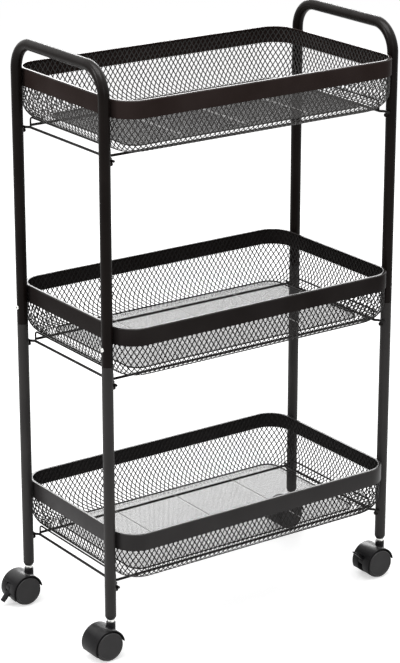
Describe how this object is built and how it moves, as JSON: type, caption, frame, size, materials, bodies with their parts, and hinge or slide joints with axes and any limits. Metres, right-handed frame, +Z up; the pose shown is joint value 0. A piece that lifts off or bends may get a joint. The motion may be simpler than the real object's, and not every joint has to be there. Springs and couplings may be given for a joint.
{
  "type": "kitchen trolley",
  "caption": "Tiered rolling kitchen trolley with rounded mesh baskets between two bent-tube end frames on swivel casters.",
  "frame": {"origin": "on the floor, midway between the four legs", "axes": "+X along the baskets towards the right-hand frame, +Y from the front to the back, +Z up"},
  "size_m": [0.5496, 0.29, 0.8575],
  "materials": {
    "frame_coat": "satin",
    "band_coat": "satin",
    "mesh_coat": "satin",
    "wire_coat": "satin",
    "zinc": "satin",
    "caster_plastic": "matte",
    "wheel_plastic": "matte"
  },
  "bodies": {
    "trolley": {"left_frame": "frame_coat", "right_frame": "frame_coat", "front_left_leg": "frame_coat", "front_left_joint_sleeve": "zinc", "front_left_leg_insert": "caster_plastic", "front_left_caster_stem": "zinc", "rear_left_leg": "frame_coat", "rear_left_joint_sleeve": "zinc", "rear_left_leg_insert": "caster_plastic", "rear_left_caster_stem": "zinc", "front_right_leg": "frame_coat", "front_right_joint_sleeve": "zinc", "front_right_leg_insert": "caster_plastic", "front_right_caster_stem": "zinc", "rear_right_leg": "frame_coat", "rear_right_joint_sleeve": "zinc", "rear_right_leg_insert": "caster_plastic", "rear_right_caster_stem": "zinc", "joint_screws": "zinc", "basket_pegs": "frame_coat", "top_basket_band": "band_coat", "top_basket_mesh": "mesh_coat", "top_basket_runners": "wire_coat", "top_basket_left_bracket": "wire_coat", "top_basket_right_bracket": "wire_coat", "middle_basket_band": "band_coat", "middle_basket_mesh": "mesh_coat", "middle_basket_runners": "wire_coat", "middle_basket_left_bracket": "wire_coat", "middle_basket_right_bracket": "wire_coat", "lower_basket_band": "band_coat", "lower_basket_mesh": "mesh_coat", "lower_basket_runners": "wire_coat", "lower_basket_left_bracket": "wire_coat", "lower_basket_right_bracket": "wire_coat"},
    "front_left_caster": {"front_left_caster_hood": "caster_plastic", "front_left_caster_axle": "zinc"},
    "front_left_wheel_front_body": {"front_left_wheel_front": "wheel_plastic"},
    "front_left_wheel_back_body": {"front_left_wheel_back": "wheel_plastic"},
    "rear_left_caster": {"rear_left_caster_hood": "caster_plastic", "rear_left_caster_axle": "zinc"},
    "rear_left_wheel_front_body": {"rear_left_wheel_front": "wheel_plastic"},
    "rear_left_wheel_back_body": {"rear_left_wheel_back": "wheel_plastic"},
    "rear_left_brake_lever_body": {"rear_left_brake_lever": "caster_plastic"},
    "front_right_caster": {"front_right_caster_hood": "caster_plastic", "front_right_caster_axle": "zinc"},
    "front_right_wheel_front_body": {"front_right_wheel_front": "wheel_plastic"},
    "front_right_wheel_back_body": {"front_right_wheel_back": "wheel_plastic"},
    "front_right_brake_lever_body": {"front_right_brake_lever": "caster_plastic"},
    "rear_right_caster": {"rear_right_caster_hood": "caster_plastic", "rear_right_caster_axle": "zinc"},
    "rear_right_wheel_front_body": {"rear_right_wheel_front": "wheel_plastic"},
    "rear_right_wheel_back_body": {"rear_right_wheel_back": "wheel_plastic"}
  },
  "joints": [
    {"name": "front_left_swivel", "type": "hinge", "parent": "trolley", "child": "front_left_caster", "pos_m": [-0.245, -0.112, 0.046], "axis": [0, 0, 1], "continuous": true},
    {"name": "front_left_wheel_front_roll", "type": "hinge", "parent": "front_left_caster", "child": "front_left_wheel_front_body", "pos_m": [-0.258, -0.112, 0.0225], "axis": [0, 1, 0], "continuous": true},
    {"name": "front_left_wheel_back_roll", "type": "hinge", "parent": "front_left_caster", "child": "front_left_wheel_back_body", "pos_m": [-0.258, -0.112, 0.0225], "axis": [0, 1, 0], "continuous": true},
    {"name": "rear_left_swivel", "type": "hinge", "parent": "trolley", "child": "rear_left_caster", "pos_m": [-0.245, 0.112, 0.046], "axis": [0, 0, 1], "continuous": true},
    {"name": "rear_left_wheel_front_roll", "type": "hinge", "parent": "rear_left_caster", "child": "rear_left_wheel_front_body", "pos_m": [-0.258, 0.112, 0.0225], "axis": [0, 1, 0], "continuous": true},
    {"name": "rear_left_wheel_back_roll", "type": "hinge", "parent": "rear_left_caster", "child": "rear_left_wheel_back_body", "pos_m": [-0.258, 0.112, 0.0225], "axis": [0, 1, 0], "continuous": true},
    {"name": "rear_left_brake", "type": "hinge", "parent": "rear_left_caster", "child": "rear_left_brake_lever_body", "pos_m": [-0.2755, 0.112, 0.027], "axis": [0, 1, 0], "range_deg": [0, 90]},
    {"name": "front_right_swivel", "type": "hinge", "parent": "trolley", "child": "front_right_caster", "pos_m": [0.245, -0.112, 0.046], "axis": [0, 0, 1], "continuous": true},
    {"name": "front_right_wheel_front_roll", "type": "hinge", "parent": "front_right_caster", "child": "front_right_wheel_front_body", "pos_m": [0.232, -0.112, 0.0225], "axis": [0, 1, 0], "continuous": true},
    {"name": "front_right_wheel_back_roll", "type": "hinge", "parent": "front_right_caster", "child": "front_right_wheel_back_body", "pos_m": [0.232, -0.112, 0.0225], "axis": [0, 1, 0], "continuous": true},
    {"name": "front_right_brake", "type": "hinge", "parent": "front_right_caster", "child": "front_right_brake_lever_body", "pos_m": [0.2145, -0.112, 0.027], "axis": [0, 1, 0], "range_deg": [-90, 0]},
    {"name": "rear_right_swivel", "type": "hinge", "parent": "trolley", "child": "rear_right_caster", "pos_m": [0.245, 0.112, 0.046], "axis": [0, 0, 1], "continuous": true},
    {"name": "rear_right_wheel_front_roll", "type": "hinge", "parent": "rear_right_caster", "child": "rear_right_wheel_front_body", "pos_m": [0.232, 0.112, 0.0225], "axis": [0, 1, 0], "continuous": true},
    {"name": "rear_right_wheel_back_roll", "type": "hinge", "parent": "rear_right_caster", "child": "rear_right_wheel_back_body", "pos_m": [0.232, 0.112, 0.0225], "axis": [0, 1, 0], "continuous": true}
  ]
}
